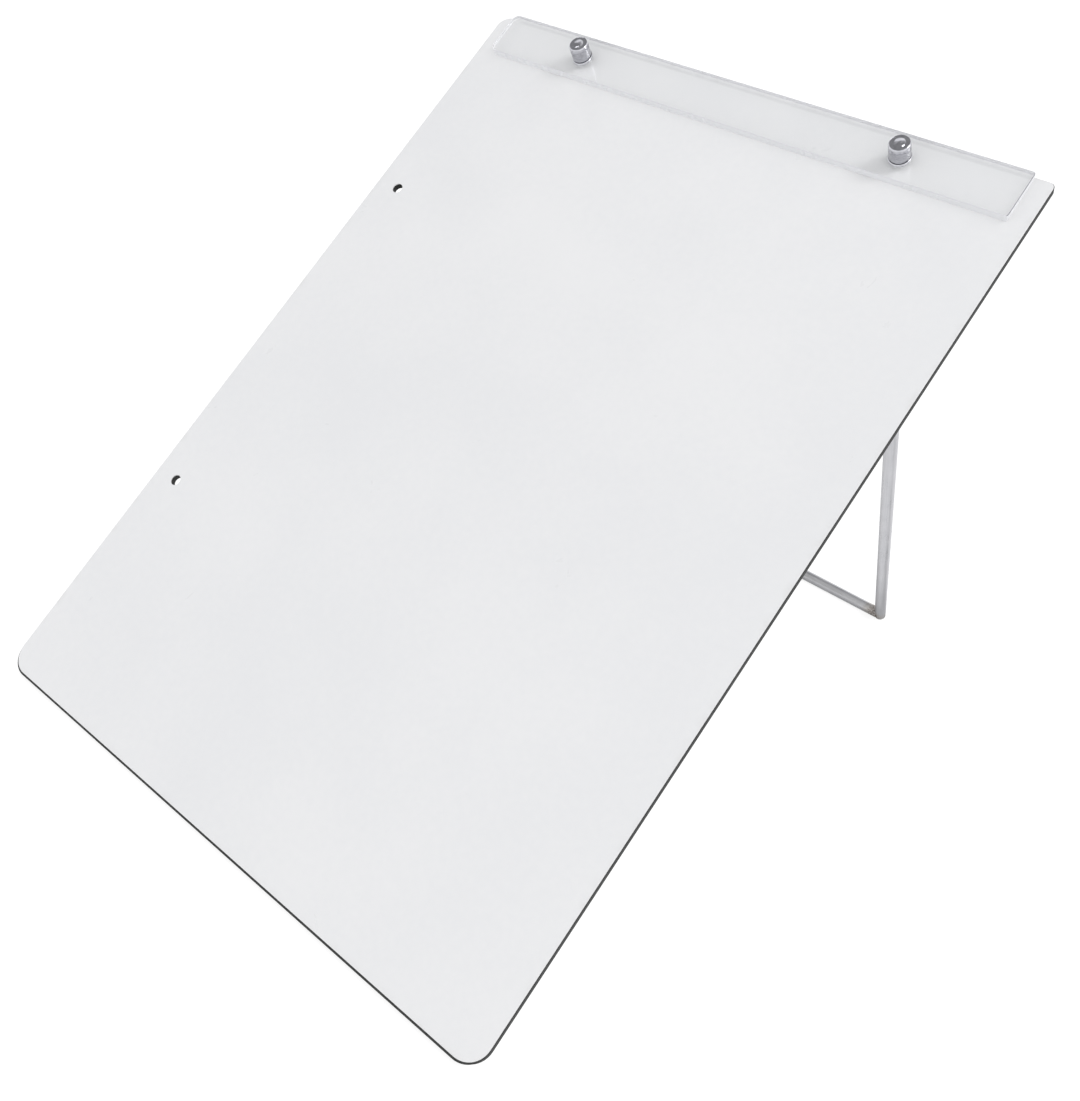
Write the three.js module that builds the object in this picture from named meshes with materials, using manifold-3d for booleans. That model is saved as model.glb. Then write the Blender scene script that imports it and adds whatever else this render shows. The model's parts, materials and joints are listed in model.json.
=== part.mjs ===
// Portable drawing board: a thin white board with a clamped clear bar along its top
// edge, two thumb knobs, and a folding stand of welded round rod hinged on its back.
//
// Units are millimetres, +Z up. The board leans back at TILT from the table, resting on
// the lower back edge of its panel and on the stand's foot rod, both at Z = 0.
// The origin is at the middle of the footprint: X and Y at the centre of the bounding
// box, Z on the table. +X is to the user's right, +Y is away from the user.
//
// Everything is placed in the board's own frame: x across the board from its centre,
// y up the board from its lower edge, z out of the drawing face (z = 0 is the face).

import * as THREE from 'three';
import { mergeVertices } from 'three/addons/utils/BufferGeometryUtils.js';
import Module from 'manifold-3d';

// ---- driving dimensions ----------------------------------------------------------
const TILT = 37;             // board's angle from the table, degrees
const BOARD_W = 250;         // across
const BOARD_H = 350;         // up
const BOARD_T = 3.0;         // face to back
const FACE_T = 0.4;          // white laminate
const R_LOW = 9;             // corner radius, two lower corners
const R_TOP_LEFT = 6;        // corner radius, upper left
const R_TOP_RIGHT = 2.5;     // corner radius, upper right
const GAP = 0.05;            // between pieces that touch

const SIDE_HOLE_X = -113.5;  // two plain holes near the left edge
const SIDE_HOLE_Y = [98, 254];
const SIDE_HOLE_R = 2.25;

const CLIP_L = 234.5;          // clear bar
const CLIP_W = 20;
const CLIP_T = 3;
const CLIP_OFF = 0.35;        // the bar sits this far right of centre
const CLIP_Y = 339.6;        // middle of the bar
const CLIP_Z = 0.15;         // underside of the bar above the face
const STUD_MID = 0.35;       // middle of the two studs
const STUD_HALF = 72.25;     // studs each side of it
const STUD_Y = 338.8;
const STUD_R = 2.0;          // M4
const WASHER_R = 4.3;
const WASHER_T = 1.1;
const KNOB_R = 4.0;
const KNOB_H = 6.8;

const ROD_R = 2.5;           // stand rod
const LEG_X = 119;           // leg axes each side of the centre
const PIVOT_Y = 251.95;      // pivot axis
const PIVOT_DROP = 4.0;      // pivot axis below the board's back
const OPEN = 85;             // leg's angle from the board when open, degrees
const LEG_TOP = 2.0;         // leg runs past the pivot axis
const LEG_END = 1.2;         // leg runs past the foot rod's axis

const PLATE_T = 1.2;
const PLATE_X0 = 67, PLATE_X1 = 95;   // hinge plate, from the board's centre
const PLATE_HY = 15;
const STRAP_X0 = 69, STRAP_X1 = 81;   // hinge strap
const STRAP_T = 1.2;
const STRAP_HY = 13;
const STRAP_CLEAR = 0.08;    // running clearance on the rod
const RIVET_DY = 8.6;
const RIVET_R = 1.5;
const TAB_X0 = 83, TAB_X1 = 91;       // stop tab
const TAB_T = 2.0;
const TAB_Y = 12;

// ---- materials -------------------------------------------------------------------
const mat = (color, roughness, metalness, extra = {}) =>
  new THREE.MeshStandardMaterial({ color, roughness, metalness, ...extra });
const CORE = mat(0x474644, 0.8, 0);
const FACE = mat(0xe8e8ea, 0.35, 0);
const CLEAR = mat(0xf2f4f5, 0.05, 0, { transparent: true, opacity: 0.3 });
const CHROME = mat(0xc9c9cf, 0.08, 1);
const STEEL = mat(0xb4b5b8, 0.4, 1);
const ZINC = mat(0xcfd0d4, 0.3, 0.9);

// ---- helpers ---------------------------------------------------------------------
const wasm = await Module();
wasm.setup();

const rad = (d) => d * Math.PI / 180;

function toSolid(geometry) {
  let g = geometry.clone();
  g.deleteAttribute('normal');
  g.deleteAttribute('uv');
  g = mergeVertices(g, 1e-5);
  const vertProperties = new Float32Array(g.attributes.position.array);
  const triVerts = g.index ? new Uint32Array(g.index.array)
    : new Uint32Array([...Array(vertProperties.length / 3).keys()]);
  return new wasm.Manifold(new wasm.Mesh({ numProp: 3, vertProperties, triVerts }));
}

function fromSolid(solid) {
  const m = solid.getMesh();
  const pos = new Float32Array(m.numVert * 3);
  for (let i = 0; i < m.numVert; i++)
    for (let k = 0; k < 3; k++) pos[3 * i + k] = m.vertProperties[m.numProp * i + k];
  const g = new THREE.BufferGeometry();
  g.setAttribute('position', new THREE.BufferAttribute(pos, 3));
  g.setIndex(new THREE.BufferAttribute(new Uint32Array(m.triVerts), 1));
  g.computeVertexNormals();
  return g;
}

function cut(geometry, cutters) {
  let s = toSolid(geometry);
  for (const c of cutters) s = s.subtract(toSolid(c));
  return fromSolid(s);
}

// rounded rectangle, corner radii in the order lower left, lower right, upper right, upper left
function roundRect(x0, y0, x1, y1, r) {
  const [a, b, c, d] = Array.isArray(r) ? r : [r, r, r, r];
  const s = new THREE.Shape();
  s.moveTo(x0 + a, y0);
  s.lineTo(x1 - b, y0);
  s.absarc(x1 - b, y0 + b, b, -Math.PI / 2, 0, false);
  s.lineTo(x1, y1 - c);
  s.absarc(x1 - c, y1 - c, c, 0, Math.PI / 2, false);
  s.lineTo(x0 + d, y1);
  s.absarc(x0 + d, y1 - d, d, Math.PI / 2, Math.PI, false);
  s.lineTo(x0, y0 + a);
  s.absarc(x0 + a, y0 + a, a, Math.PI, 1.5 * Math.PI, false);
  return s;
}

function addHole(shape, x, y, r) {
  const h = new THREE.Path();
  h.absarc(x, y, r, 0, 2 * Math.PI, true);
  shape.holes.push(h);
}

function slab(shape, z0, z1, curveSegments = 8) {
  const g = new THREE.ExtrudeGeometry(shape, { depth: z1 - z0, bevelEnabled: false, curveSegments });
  g.translate(0, 0, z0);
  return g;
}

// solid of revolution about z; profile is a list of [radius, z], ends on the axis or closes
function lathe(profile, x = 0, y = 0, n = 32) {
  const g = new THREE.LatheGeometry(profile.map(([r, z]) => new THREE.Vector2(r, z)), n);
  g.rotateX(Math.PI / 2);
  g.translate(x, y, 0);
  return g;
}

// closed profile in (y, z) extruded along x
function alongX(points, x0, x1) {
  const s = new THREE.Shape(points.map(([y, z]) => new THREE.Vector2(y, z)));
  const g = new THREE.ExtrudeGeometry(s, { depth: x1 - x0, bevelEnabled: false });
  // extrusion axis z -> x, shape x -> y, shape y -> z
  const m = new THREE.Matrix4().set(0, 0, 1, x0, 1, 0, 0, 0, 0, 1, 0, 0, 0, 0, 0, 1);
  g.applyMatrix4(m);
  return g;
}

const board = new THREE.Group();      // the board's own frame
const stand = new THREE.Group();      // the stand, about its pivot axis

function piece(parent, name, geometry, material) {
  const m = new THREE.Mesh(geometry, material);
  m.name = name;
  parent.add(m);
  return m;
}

// ---- board -----------------------------------------------------------------------
const HW = BOARD_W / 2;
const corners = [R_LOW, R_LOW, R_TOP_RIGHT, R_TOP_LEFT];
const studX = [STUD_MID - STUD_HALF, STUD_MID + STUD_HALF];
const rivets = [];
for (const side of [-1, 1])
  for (const end of [-1, 1])
    rivets.push({
      name: `strap_rivet_${side < 0 ? 'left' : 'right'}_${end < 0 ? 'lower' : 'upper'}`,
      x: side * (STRAP_X0 + STRAP_X1) / 2,
      y: PIVOT_Y + end * RIVET_DY,
    });

{
  // dark core, with a countersunk hole for each rivet
  const s = roundRect(-HW, 0, HW, BOARD_H, corners);
  for (const y of SIDE_HOLE_Y) addHole(s, SIDE_HOLE_X, y, SIDE_HOLE_R);
  for (const x of studX) addHole(s, x, STUD_Y, 2.56);
  const top = -FACE_T - GAP;
  const sink = rivets.map(({ x, y }) =>
    lathe([[0, -BOARD_T - 1], [1.6, -BOARD_T - 1], [1.6, top - 1.5], [2.9, top - 0.05], [2.9, 1], [0, 1]], x, y, 16));
  piece(board, 'core_panel', cut(slab(s, -BOARD_T, top), sink), CORE);
}
{
  // white laminate face
  const s = roundRect(-HW, 0, HW, BOARD_H, corners);
  for (const y of SIDE_HOLE_Y) addHole(s, SIDE_HOLE_X, y, SIDE_HOLE_R);
  for (const x of studX) addHole(s, x, STUD_Y, 2.2);
  piece(board, 'face_sheet', slab(s, -FACE_T, 0), FACE);
}

// ---- clear bar, studs, washers and knobs -----------------------------------------
{
  const s = roundRect(CLIP_OFF - CLIP_L / 2, CLIP_Y - CLIP_W / 2, CLIP_OFF + CLIP_L / 2, CLIP_Y + CLIP_W / 2, [3, 1.2, 1.2, 3]);
  for (const x of studX) addHole(s, x, STUD_Y, 2.2);
  piece(board, 'clip_bar', slab(s, CLIP_Z, CLIP_Z + CLIP_T), CLEAR);
}
const washerZ = CLIP_Z + CLIP_T + GAP;
const knobZ = washerZ + WASHER_T + GAP;
const knobTop = knobZ + KNOB_H;
studX.forEach((x, i) => {
  const side = i === 0 ? 'left' : 'right';
  const back = -BOARD_T - GAP;
  // smooth dome head on the board's back, plain neck in the core, M4 shank
  piece(board, `clamp_stud_${side}`, lathe([
    [0, back - 1.8], [1.6, back - 1.68], [3.0, back - 1.32], [4.0, back - 0.78], [4.5, back - 0.2],
    [4.5, back], [2.5, back], [2.5, -0.8], [STUD_R, -0.8], [STUD_R, knobTop - 2.05],
    [STUD_R - 0.35, knobTop - 1.7], [0, knobTop - 1.7],
  ], x, STUD_Y), STEEL);
  const wt = washerZ + WASHER_T;
  piece(board, `clip_washer_${side}`, lathe([
    [2.15, washerZ], [WASHER_R - 0.2, washerZ], [WASHER_R, washerZ + 0.25], [WASHER_R, wt - 0.3],
    [WASHER_R - 0.3, wt], [2.15, wt], [2.15, washerZ],
  ], x, STUD_Y), CHROME);
  // blind knob: bore for the stud, narrow neck, straight body, rounded rim, dished top
  piece(board, `clamp_knob_${side}`, lathe([
    [0, knobTop - 1.5], [STUD_R + 0.08, knobTop - 1.5], [STUD_R + 0.08, knobZ], [3.3, knobZ],
    [3.35, knobZ + 0.4], [KNOB_R - 0.15, knobZ + 0.45], [KNOB_R, knobZ + 0.6], [KNOB_R, knobTop - 0.9],
    [KNOB_R - 0.08, knobTop - 0.55], [KNOB_R - 0.3, knobTop - 0.25], [KNOB_R - 0.62, knobTop - 0.05],
    [KNOB_R - 0.9, knobTop], [2.8, knobTop], [2.55, knobTop - 0.2], [1.6, knobTop - 0.42], [0, knobTop - 0.5],
  ], x, STUD_Y), CHROME);
});

// ---- hinge plates, straps and rivets on the board's back --------------------------
const pivotZ = -BOARD_T - PIVOT_DROP;
const plateTop = -BOARD_T - GAP;              // side against the board
const plateBot = plateTop - PLATE_T;          // side away from the board
const strapTop = plateBot - GAP;
const strapBot = strapTop - STRAP_T;
for (const side of [-1, 1]) {
  const name = side < 0 ? 'left' : 'right';
  const xs = (a, b) => side < 0 ? [-b, -a] : [a, b];
  const mine = rivets.filter((r) => Math.sign(r.x) === side);
  {
    const [x0, x1] = xs(PLATE_X0, PLATE_X1);
    const s = roundRect(x0, PIVOT_Y - PLATE_HY, x1, PIVOT_Y + PLATE_HY, 2);
    for (const r of mine) addHole(s, r.x, r.y, 1.6);
    piece(board, `hinge_plate_${name}`, slab(s, plateBot, plateTop), STEEL);
  }
  {
    const [x0, x1] = xs(STRAP_X0, STRAP_X1);
    const ri = ROD_R + STRAP_CLEAR, ro = ri + STRAP_T;
    const arc = (r, from, to, n = 12) => [...Array(n + 1).keys()].map((k) => {
      const a = rad(from + (to - from) * k / n);
      return [PIVOT_Y + r * Math.cos(a), pivotZ + r * Math.sin(a)];
    });
    const profile = [
      [PIVOT_Y - STRAP_HY, strapTop], [PIVOT_Y - STRAP_HY, strapBot], [PIVOT_Y - ro, strapBot],
      ...arc(ro, 180, 360), [PIVOT_Y + ro, strapBot], [PIVOT_Y + STRAP_HY, strapBot],
      [PIVOT_Y + STRAP_HY, strapTop], [PIVOT_Y + ri, strapTop], ...arc(ri, 360, 180), [PIVOT_Y - ri, strapTop],
    ];
    const holes = mine.map((r) => lathe([[0, strapBot - 1], [1.6, strapBot - 1], [1.6, strapTop + 1], [0, strapTop + 1]], r.x, r.y, 16));
    piece(board, `hinge_strap_${name}`, cut(alongX(profile, x0, x1), holes), STEEL);
  }
  for (const r of mine) {
    const h = strapBot - GAP, t = -FACE_T - 2 * GAP;
    piece(board, r.name, lathe([
      [0, h - 1.3], [1.0, h - 1.22], [1.9, h - 0.95], [2.5, h - 0.5], [2.75, h], [RIVET_R, h],
      [RIVET_R, t - 1.5], [2.7, t - 0.15], [2.7, t], [0, t],
    ], r.x, r.y, 16), STEEL);
  }
}

// ---- stand, built about its pivot axis --------------------------------------------
const S = Math.sin(rad(TILT)), C = Math.cos(rad(TILT));
// the leg's length puts the foot rod's underside on the table
const LEG = (PIVOT_Y * S + (pivotZ + BOARD_T) * C - ROD_R) / Math.sin(rad(OPEN + TILT));
stand.position.set(0, PIVOT_Y, pivotZ);
const dir = [-Math.cos(rad(OPEN)), -Math.sin(rad(OPEN))];   // leg's direction in (y, z)

// rod across the board, with a corner of its 24 sides pointing straight down at the table
function crossRod(y, z) {
  const half = LEG_X - ROD_R - GAP;
  const g = new THREE.CylinderGeometry(ROD_R, ROD_R, 2 * half, 24, 1);
  g.rotateZ(Math.PI / 2);
  g.rotateX(-rad(TILT));
  g.translate(0, y, z);
  return g;
}
function legRod(x) {
  const len = LEG_TOP + LEG + LEG_END;
  const g = new THREE.CylinderGeometry(ROD_R, ROD_R, len, 24, 1);
  g.rotateX(Math.atan2(dir[1], dir[0]));      // +Y turned onto the leg's direction
  const mid = (LEG + LEG_END - LEG_TOP) / 2;
  g.translate(x, dir[0] * mid, dir[1] * mid);
  return g;
}
piece(stand, 'stand_pivot_bar', crossRod(0, 0), ZINC);
piece(stand, 'stand_foot_bar', crossRod(dir[0] * LEG, dir[1] * LEG), ZINC);
piece(stand, 'stand_leg_left', legRod(-LEG_X), ZINC);
piece(stand, 'stand_leg_right', legRod(LEG_X), ZINC);
for (const side of [-1, 1]) {
  // flat tab welded to the pivot bar; it lies on the hinge plate when the stand is open
  const top = plateBot - 0.15 - pivotZ, bot = top - TAB_T, r = ROD_R + 0.06;
  const a0 = Math.acos((top - 0.15) / r), a1 = Math.acos(bot / r);
  const arc = [...Array(6).keys()].map((k) => {
    const a = a0 + (a1 - a0) * k / 5;
    return [r * Math.sin(a), r * Math.cos(a)];
  });
  const [x0, x1] = side < 0 ? [-TAB_X1, -TAB_X0] : [TAB_X0, TAB_X1];
  const pts = [[arc[0][0], top], ...arc, [TAB_Y, bot], [TAB_Y, top]];
  piece(stand, `stop_tab_${side < 0 ? 'left' : 'right'}`, alongX(pts, x0, x1), ZINC);
}
board.add(stand);

// ---- stand the board on the table ---------------------------------------------------
board.rotation.x = rad(TILT);
board.position.z = BOARD_T * C;
const assembly = new THREE.Group();
assembly.add(board);
assembly.updateMatrixWorld(true);
const box = new THREE.Box3().setFromObject(assembly, true);
board.position.y = -(box.min.y + box.max.y) / 2;

export default assembly;
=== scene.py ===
import bpy
import bmesh
import json
import math
import random
from mathutils import Matrix, Vector

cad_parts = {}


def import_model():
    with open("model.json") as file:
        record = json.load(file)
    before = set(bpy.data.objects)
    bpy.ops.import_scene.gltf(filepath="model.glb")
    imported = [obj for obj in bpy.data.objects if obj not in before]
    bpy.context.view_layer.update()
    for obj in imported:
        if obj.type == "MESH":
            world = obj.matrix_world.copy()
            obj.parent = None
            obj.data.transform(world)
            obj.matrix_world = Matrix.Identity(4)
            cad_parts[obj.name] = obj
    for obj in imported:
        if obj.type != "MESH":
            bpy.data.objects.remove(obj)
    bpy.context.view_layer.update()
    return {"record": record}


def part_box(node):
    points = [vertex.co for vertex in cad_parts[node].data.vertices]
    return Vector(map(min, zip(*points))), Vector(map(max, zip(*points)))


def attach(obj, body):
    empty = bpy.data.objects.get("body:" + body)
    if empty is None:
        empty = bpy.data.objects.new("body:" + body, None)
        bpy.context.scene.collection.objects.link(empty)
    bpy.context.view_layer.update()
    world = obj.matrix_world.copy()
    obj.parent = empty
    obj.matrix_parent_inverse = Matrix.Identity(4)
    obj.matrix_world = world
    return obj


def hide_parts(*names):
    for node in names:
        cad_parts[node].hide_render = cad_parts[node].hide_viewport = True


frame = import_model()
scene = bpy.context.scene
random.seed(7)

# ---------------------------------------------------------------------------------
# The board's own frame, in mm: x across the board from its centre, y up the board
# from its lower edge, z out of the white face. It is turned and placed in the row
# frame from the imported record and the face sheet's box.
# ---------------------------------------------------------------------------------
MM = 0.001
NORMAL = Vector(frame["record"]["mounts"][0]["axis"]).normalized()
TILT = math.atan2(-NORMAL.y, NORMAL.z)
CT, ST = math.cos(TILT), math.sin(TILT)
FACE_T = 0.4
_lo, _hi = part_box("face_sheet")
BOARD_O = Vector((0.0, _lo.y, _lo.z + FACE_T * CT * MM))


def world(x, y, z):
    """A point of the board's frame, in mm, as a point of the row frame, in metres."""
    return Vector((x * MM, BOARD_O.y + (y * CT - z * ST) * MM, BOARD_O.z + (y * ST + z * CT) * MM))


BOARD_W, BOARD_H, BOARD_T = 250.0, 350.0, 3.0
HW = BOARD_W / 2
R_LOW, R_TOP_RIGHT, R_TOP_LEFT = 9.0, 2.5, 6.0
SHOW, SHOW_LOW = 0.25, 0.85          # how far the laminate is trimmed back from the core's edges
SIDE_X, SIDE_Y, SIDE_R = -113.5, (98.0, 254.0), 2.25
CLIP_L, CLIP_W, CLIP_T, CLIP_OFF, CLIP_Y, CLIP_Z = 234.5, 20.0, 3.0, 0.35, 339.6, 0.15
STUD_X, STUD_Y, STUD_R = (0.35 - 72.25, 0.35 + 72.25), 338.8, 2.0
WASHER_Z, WASHER_T, WASHER_R = CLIP_Z + CLIP_T + 0.05, 1.1, 4.3
KNOB_Z = WASHER_Z + WASHER_T + 0.05
KNOB_TOP, KNOB_R = KNOB_Z + 6.8, 4.0
ROD_R, LEG_X = 2.5, 119.0
PIVOT_Y, PIVOT_Z = 251.95, -7.0
OPEN = math.radians(85)
LEG = (PIVOT_Y * ST + (PIVOT_Z + BOARD_T) * CT - ROD_R) / math.sin(OPEN + TILT)
LEG_TOP, LEG_END = 2.0, 1.2
LEG_DIR = (-math.cos(OPEN), -math.sin(OPEN))          # in (y, z) of the board's frame
PLATE_X, PLATE_HY, PLATE_T = (67.0, 95.0), 15.0, 1.2
STRAP_X, STRAP_HY, STRAP_T = (69.0, 81.0), 13.0, 1.2
RIVET_DY = 8.6
TAB_X, TAB_Y, TAB_T = (83.0, 91.0), 12.0, 2.0

# ---------------------------------------------------------------------------------
# Camera
# ---------------------------------------------------------------------------------
cam = bpy.data.cameras.new("camera")
cam.sensor_fit = "HORIZONTAL"
cam.sensor_width = 36.0
cam.lens = 1107.263 * 36 / 1080
cam.shift_x = (540 - 521.518) / 1080
cam.shift_y = (566.099 - 550.5) / 1080
cam.clip_start, cam.clip_end = 0.01, 50.0
cam_ob = bpy.data.objects.new("camera", cam)
scene.collection.objects.link(cam_ob)
_r = Vector((0.76525562, 0.63642263, 0.09669573)).normalized()
_v = Vector((-0.45347554, 0.63958382, -0.62071932)).normalized()
_u = _r.cross(_v)
cam_ob.matrix_world = Matrix((
    (_r.x, _u.x, -_v.x, 0.21640979),
    (_r.y, _u.y, -_v.y, -0.28637433),
    (_r.z, _u.z, -_v.z, 0.32888148),
    (0, 0, 0, 1)))
scene.camera = cam_ob


# ---------------------------------------------------------------------------------
# Node helpers
# ---------------------------------------------------------------------------------
class Nodes:
    """A small builder for a shader tree."""

    def __init__(self, tree):
        self.tree = tree
        self.col = 0

    def new(self, kind, inputs=None, **settings):
        n = self.tree.nodes.new(kind)
        n.location = (200 * self.col, 0)
        self.col += 1
        for k, v in settings.items():
            setattr(n, k, v)
        for k, v in (inputs or {}).items():
            self.put(n.inputs[k], v)
        return n

    def put(self, socket, v):
        if isinstance(v, bpy.types.NodeSocket):
            self.tree.links.new(v, socket)
        elif isinstance(v, bpy.types.Node):
            self.tree.links.new(v.outputs[0], socket)
        else:
            socket.default_value = v

    def math(self, op, a, b=0.0, c=0.0, clamp=False):
        n = self.new("ShaderNodeMath", operation=op, use_clamp=clamp)
        self.put(n.inputs[0], a)
        self.put(n.inputs[1], b)
        if len(n.inputs) > 2:
            self.put(n.inputs[2], c)
        return n.outputs[0]

    def ramp(self, value, lo, hi, a=0.0, b=1.0, smooth=True):
        """value mapped from lo..hi to a..b."""
        n = self.new("ShaderNodeMapRange", interpolation_type="SMOOTHSTEP" if smooth else "LINEAR")
        self.put(n.inputs["Value"], value)
        for k, v in (("From Min", lo), ("From Max", hi), ("To Min", a), ("To Max", b)):
            self.put(n.inputs[k], v)
        return n.outputs["Result"]

    def noise(self, vec, scale, detail=3.0, rough=0.5, distortion=0.0):
        n = self.new("ShaderNodeTexNoise")
        self.put(n.inputs["Vector"], vec)
        self.put(n.inputs["Scale"], scale)
        self.put(n.inputs["Detail"], detail)
        self.put(n.inputs["Roughness"], rough)
        self.put(n.inputs["Distortion"], distortion)
        return n.outputs["Fac"]

    def mix(self, fac, a, b, kind="RGBA", blend="MIX"):
        n = self.new("ShaderNodeMix", data_type=kind)
        if kind == "RGBA":
            n.blend_type = blend
        i = {"RGBA": (6, 7, 2), "FLOAT": (2, 3, 0)}[kind]
        self.put(n.inputs[0], fac)
        for k, v in ((i[0], a), (i[1], b)):
            if kind == "RGBA" and isinstance(v, tuple) and len(v) == 3:
                v = (*v, 1.0)
            self.put(n.inputs[k], v)
        return n.outputs[i[2]]

    def board(self, turn=TILT, scale=(1000, 1000, 1000)):
        """Object coordinates in mm, turned so that Y runs up the board and Z out of its face."""
        c = self.new("ShaderNodeTexCoord").outputs["Object"]
        m = self.new("ShaderNodeMapping", vector_type="POINT")
        self.put(m.inputs["Vector"], c)
        m.inputs["Rotation"].default_value = (-turn, 0, 0)
        m.inputs["Scale"].default_value = (1000, 1000, 1000)
        if tuple(scale) == (1000, 1000, 1000):
            return m.outputs[0]
        s = self.new("ShaderNodeVectorMath", operation="MULTIPLY")
        self.put(s.inputs[0], m.outputs[0])
        s.inputs[1].default_value = tuple(v / 1000 for v in scale)
        return s.outputs[0]

    def xyz(self, vec):
        n = self.new("ShaderNodeSeparateXYZ")
        self.put(n.inputs[0], vec)
        return n.outputs

    def bump(self, height, strength, distance, normal=None):
        n = self.new("ShaderNodeBump")
        self.put(n.inputs["Height"], height)
        n.inputs["Strength"].default_value = strength
        n.inputs["Distance"].default_value = distance
        if normal is not None:
            self.put(n.inputs["Normal"], normal)
        return n.outputs[0]


def material(name):
    m = bpy.data.materials.new(name)
    m.use_nodes = True
    nt = m.node_tree
    nt.nodes.clear()
    k = Nodes(nt)
    p = k.new("ShaderNodeBsdfPrincipled")
    out = k.new("ShaderNodeOutputMaterial")
    nt.links.new(p.outputs[0], out.inputs[0])
    return m, k, p


# ---------------------------------------------------------------------------------
# Materials
# ---------------------------------------------------------------------------------
# The board's origin in the turned coordinates that Nodes.board gives, in mm.
_o = Matrix.Rotation(-TILT, 3, "X") @ (BOARD_O * 1000)
OX, OY, OZ = _o.x, _o.y, _o.z


def make_laminate():
    m, k, p = material("white_laminate")
    v = k.board()
    cloud = k.noise(v, 0.012, 3.0, 0.55)
    mottle = k.noise(v, 0.35, 4.0, 0.6)
    tone = k.math("ADD", k.math("MULTIPLY", cloud, 0.65), k.math("MULTIPLY", mottle, 0.35))
    col = k.mix(k.ramp(tone, 0.3, 0.7), (0.735, 0.738, 0.748), (0.768, 0.768, 0.773))
    # a few pressed-in specks, as in any printed melamine paper
    vor = k.new("ShaderNodeTexVoronoi", feature="F1")
    k.put(vor.inputs["Vector"], v)
    vor.inputs["Scale"].default_value = 0.09
    cell = k.xyz(vor.outputs["Color"])
    speck = k.math("MULTIPLY", k.ramp(vor.outputs["Distance"], 0.028, 0.012), k.ramp(cell[0], 0.80, 0.83))
    col = k.mix(k.math("MULTIPLY", speck, 0.35), col, (0.42, 0.41, 0.40))
    # handling along the edges: a trace of grey within a few millimetres of them
    x, y, z = k.xyz(v)
    dx = k.math("SUBTRACT", HW, k.math("ABSOLUTE", x))
    dy = k.math("SUBTRACT", BOARD_H / 2, k.math("ABSOLUTE", k.math("SUBTRACT", y, OY + BOARD_H / 2)))
    edge = k.ramp(k.math("MINIMUM", dx, dy), 3.5, 0.0)
    dirt = k.math("MULTIPLY", edge, k.ramp(k.noise(v, 0.16, 4.0, 0.6), 0.42, 0.72))
    col = k.mix(k.math("MULTIPLY", dirt, 0.22), col, (0.56, 0.55, 0.53))
    k.put(p.inputs["Base Color"], col)
    smear = k.noise(v, 0.045, 5.0, 0.62, 0.8)
    k.put(p.inputs["Roughness"], k.ramp(smear, 0.25, 0.75, 0.27, 0.42))
    p.inputs["IOR"].default_value = 1.48
    p.inputs["Specular IOR Level"].default_value = 0.42
    peel = k.noise(v, 1.1, 3.0, 0.55)
    fine = k.noise(v, 6.0, 2.0, 0.5)
    n1 = k.bump(peel, 0.10, 0.00006)
    k.put(p.inputs["Normal"], k.bump(fine, 0.08, 0.00002, n1))
    return m


def make_core_edge():
    """Sawn and sealed edge of the dark fibre core: fine layers with saw marks across them."""
    m, k, p = material("dark_core_edge")
    v = k.board()
    x, y, z = k.xyz(v)
    fibre = k.noise(k.board(scale=(350, 350, 2600)), 1.0, 4.0, 0.6)
    chip = k.noise(v, 1.6, 4.0, 0.65)
    long_ = k.noise(v, 0.05, 3.0, 0.5)
    tone = k.math("ADD", k.math("MULTIPLY", fibre, 0.5), k.math("ADD", k.math("MULTIPLY", chip, 0.35), k.math("MULTIPLY", long_, 0.15)))
    col = k.mix(k.ramp(tone, 0.33, 0.68), (0.022, 0.023, 0.023), (0.052, 0.053, 0.051))
    pale = k.math("MULTIPLY", k.ramp(chip, 0.68, 0.76), 0.4)
    col = k.mix(pale, col, (0.13, 0.125, 0.115))
    k.put(p.inputs["Base Color"], col)
    k.put(p.inputs["Roughness"], k.ramp(chip, 0.3, 0.7, 0.55, 0.78))
    p.inputs["Specular IOR Level"].default_value = 0.28
    saw = k.noise(k.board(scale=(4200, 4200, 260)), 1.0, 2.0, 0.5)
    n1 = k.bump(saw, 0.25, 0.00005)
    k.put(p.inputs["Normal"], k.bump(fibre, 0.45, 0.00008, n1))
    return m


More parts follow.
